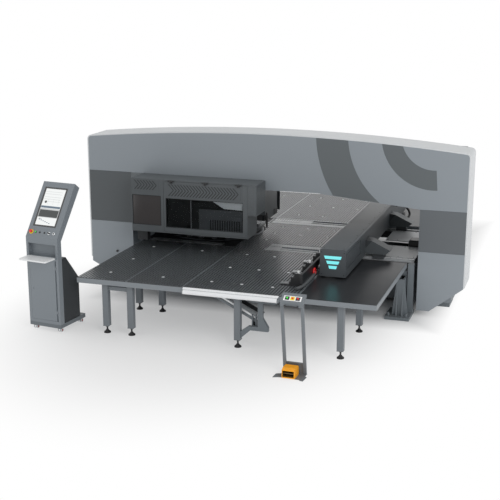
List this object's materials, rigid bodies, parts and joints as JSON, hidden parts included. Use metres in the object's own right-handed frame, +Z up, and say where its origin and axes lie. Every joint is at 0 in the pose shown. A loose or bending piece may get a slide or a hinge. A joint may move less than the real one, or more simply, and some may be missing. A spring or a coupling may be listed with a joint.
{
  "type": "cnc turret punch press",
  "caption": "Closed O-frame turret punch press with brush tables, clamp beam, swivel console and pedestal.",
  "frame": {"origin": "on the floor under the middle of the whole outline", "axes": "+Z up, +X along the O-frame to the right seen from the front, +Y along the beam to the rear, -Y towards the operator"},
  "size_m": [5.35, 6.7919, 2.334],
  "materials": {
    "cover_pale": "satin",
    "cover_dark": "satin",
    "cover_grey": "satin",
    "frame_grey": "satin",
    "guard_grey": "satin",
    "glass_dark": "smoked",
    "brush": "bristle",
    "table_paint": "satin",
    "steel": "ground",
    "chrome": "polished",
    "black_parts": "satin",
    "beam_paint": "satin",
    "light_cyan": "lit",
    "rubber": "matte",
    "red": "gloss",
    "green": "gloss",
    "orange": "gloss",
    "aluminium": "anodised",
    "cast": "machined",
    "screen": "glossy"
  },
  "bodies": {
    "machine": {"frame_weldment": "frame_grey", "outriggers": "frame_grey", "rear_cover": "cover_grey", "front_beam_cover": "cover_grey", "band_covers": "cover_dark", "left_lower_cover": "cover_grey", "right_lower_cover": "cover_grey", "arch_cover": "cover_pale", "cover_back_panel": "cover_grey", "bed_frame": "steel", "drive_box": "black_parts", "tables_front": "table_paint", "tables_rear": "table_paint", "table_centre": "table_paint", "brush_mats": "brush", "side_tables": "table_paint", "ball_transfers": "chrome", "table_legs": "table_paint", "levelling_feet": "rubber", "part_chute": "aluminium", "chute_bracket": "black_parts", "turret_shafts": "cast", "ram_housing": "cast", "guard_housing": "guard_grey", "guard_left_window": "glass_dark", "console_body": "table_paint", "console_screen": "screen", "console_base": "black_parts", "pedestal_frame": "table_paint", "pedestal_head": "table_paint", "foot_switch": "orange"},
    "beam": {"beam_core": "steel", "beam_cover": "beam_paint", "beam_lights": "light_cyan", "beam_brackets": "beam_paint"},
    "carriage": {"carriage_bar": "beam_paint", "clamp_bodies": "black_parts", "coupling_ring": "red", "clamp_hose": "rubber"},
    "jaws": {"clamp_jaws": "steel"},
    "turret_top": {"upper_turret": "cast", "punch_holders": "steel"},
    "turret_bottom": {"lower_turret": "cast"},
    "ram": {"ram": "chrome"},
    "roller": {"front_roller": "aluminium"},
    "door": {"guard_door": "guard_grey", "guard_door_window": "glass_dark"},
    "shelf": {"console_tray": "aluminium"},
    "cabinet_door": {"console_door": "table_paint"},
    "estop": {"console_estop": "red"},
    "start": {"console_start": "green"},
    "selector": {"console_selector": "black_parts"},
    "caster_a": {"caster_1": "rubber"},
    "caster_b": {"caster_2": "rubber"},
    "caster_c": {"caster_3": "rubber"},
    "caster_d": {"caster_4": "rubber"},
    "pedestal_go": {"pedestal_start": "green"},
    "pedestal_halt": {"pedestal_stop": "red"},
    "pedestal_clear": {"pedestal_reset": "red"},
    "pedal": {"foot_pedal": "rubber"}
  },
  "joints": [
    {"name": "beam_travel", "type": "slide", "parent": "machine", "child": "beam", "axis": [-1, 0, 0], "range_m": [0, 0.95]},
    {"name": "carriage_travel", "type": "slide", "parent": "beam", "child": "carriage", "axis": [0, 1, 0], "range_m": [0, 3.3]},
    {"name": "clamp_release", "type": "hinge", "parent": "carriage", "child": "jaws", "pos_m": [0.812, -1.614, 0.782], "axis": [0, 1, 0], "range_deg": [0, 20]},
    {"name": "turret_index", "type": "hinge", "parent": "machine", "child": "turret_top", "pos_m": [-1.13, 0.381, 0.79], "axis": [0, 0, 1], "continuous": true},
    {"name": "turret_index_lower", "type": "hinge", "parent": "machine", "child": "turret_bottom", "pos_m": [-1.13, 0.381, 0.7], "axis": [0, 0, 1], "continuous": true},
    {"name": "ram_stroke", "type": "slide", "parent": "machine", "child": "ram", "axis": [0, 0, -1], "range_m": [0, 0.03], "stiffness_N_per_m": 60000, "springref_m": -0.02},
    {"name": "roller_spin", "type": "hinge", "parent": "machine", "child": "roller", "pos_m": [0.148, -2.666, 0.672], "axis": [1, 0, 0], "continuous": true},
    {"name": "guard_door_lift", "type": "hinge", "parent": "machine", "child": "door", "pos_m": [-0.758, -1.0565, 1.688], "axis": [-1, 0, 0], "range_deg": [0, 95]},
    {"name": "shelf_fold", "type": "hinge", "parent": "machine", "child": "shelf", "pos_m": [-2.29547, -2.75929, 0.974], "axis": [-0.9925, 0.1219, 0], "range_deg": [0, 90]},
    {"name": "cabinet_door_swing", "type": "hinge", "parent": "machine", "child": "cabinet_door", "pos_m": [-2.10084, -2.76606, 0.55], "axis": [0, 0, 1], "range_deg": [0, 100]},
    {"name": "estop_press", "type": "slide", "parent": "machine", "child": "estop", "axis": [0.0999, 0.8134, -0.573], "range_m": [0, 0.005], "stiffness_N_per_m": 3000, "springref_m": -0.004},
    {"name": "start_press", "type": "slide", "parent": "machine", "child": "start", "axis": [0.0999, 0.8134, -0.573], "range_m": [0, 0.004], "stiffness_N_per_m": 1500, "springref_m": -0.003},
    {"name": "selector_turn", "type": "hinge", "parent": "machine", "child": "selector", "pos_m": [-2.20088, -2.71926, 1.27601], "axis": [-0.0999, -0.8134, 0.573], "range_deg": [-45, 45]},
    {"name": "caster_a_swivel", "type": "hinge", "parent": "machine", "child": "caster_a", "pos_m": [-2.47178, -2.67719, 0.05], "axis": [0, 0, 1], "continuous": true},
    {"name": "caster_b_swivel", "type": "hinge", "parent": "machine", "child": "caster_b", "pos_m": [-2.10453, -2.72228, 0.05], "axis": [0, 0, 1], "continuous": true},
    {"name": "caster_c_swivel", "type": "hinge", "parent": "machine", "child": "caster_c", "pos_m": [-2.05079, -2.28457, 0.05], "axis": [0, 0, 1], "continuous": true},
    {"name": "caster_d_swivel", "type": "hinge", "parent": "machine", "child": "caster_d", "pos_m": [-2.41803, -2.23947, 0.05], "axis": [0, 0, 1], "continuous": true},
    {"name": "pedestal_go_press", "type": "slide", "parent": "machine", "child": "pedestal_go", "axis": [0.0149, 0.5709, -0.8209], "range_m": [0, 0.005], "stiffness_N_per_m": 2000, "springref_m": -0.003},
    {"name": "pedestal_halt_press", "type": "slide", "parent": "machine", "child": "pedestal_halt", "axis": [0.0149, 0.5709, -0.8209], "range_m": [0, 0.005], "stiffness_N_per_m": 2000, "springref_m": -0.003},
    {"name": "pedestal_clear_press", "type": "slide", "parent": "machine", "child": "pedestal_clear", "axis": [0.0149, 0.5709, -0.8209], "range_m": [0, 0.005], "stiffness_N_per_m": 2000, "springref_m": -0.003},
    {"name": "pedal_press", "type": "hinge", "parent": "machine", "child": "pedal", "pos_m": [1.08895, -3.25736, 0.038], "axis": [0.9997, -0.0262, 0], "range_deg": [0, 12], "stiffness_Nm_per_rad": 20, "springref_deg": -8.59}
  ],
  "couplings": [
    {"joint": "turret_index_lower", "follows": "turret_index", "ratio": 1}
  ]
}
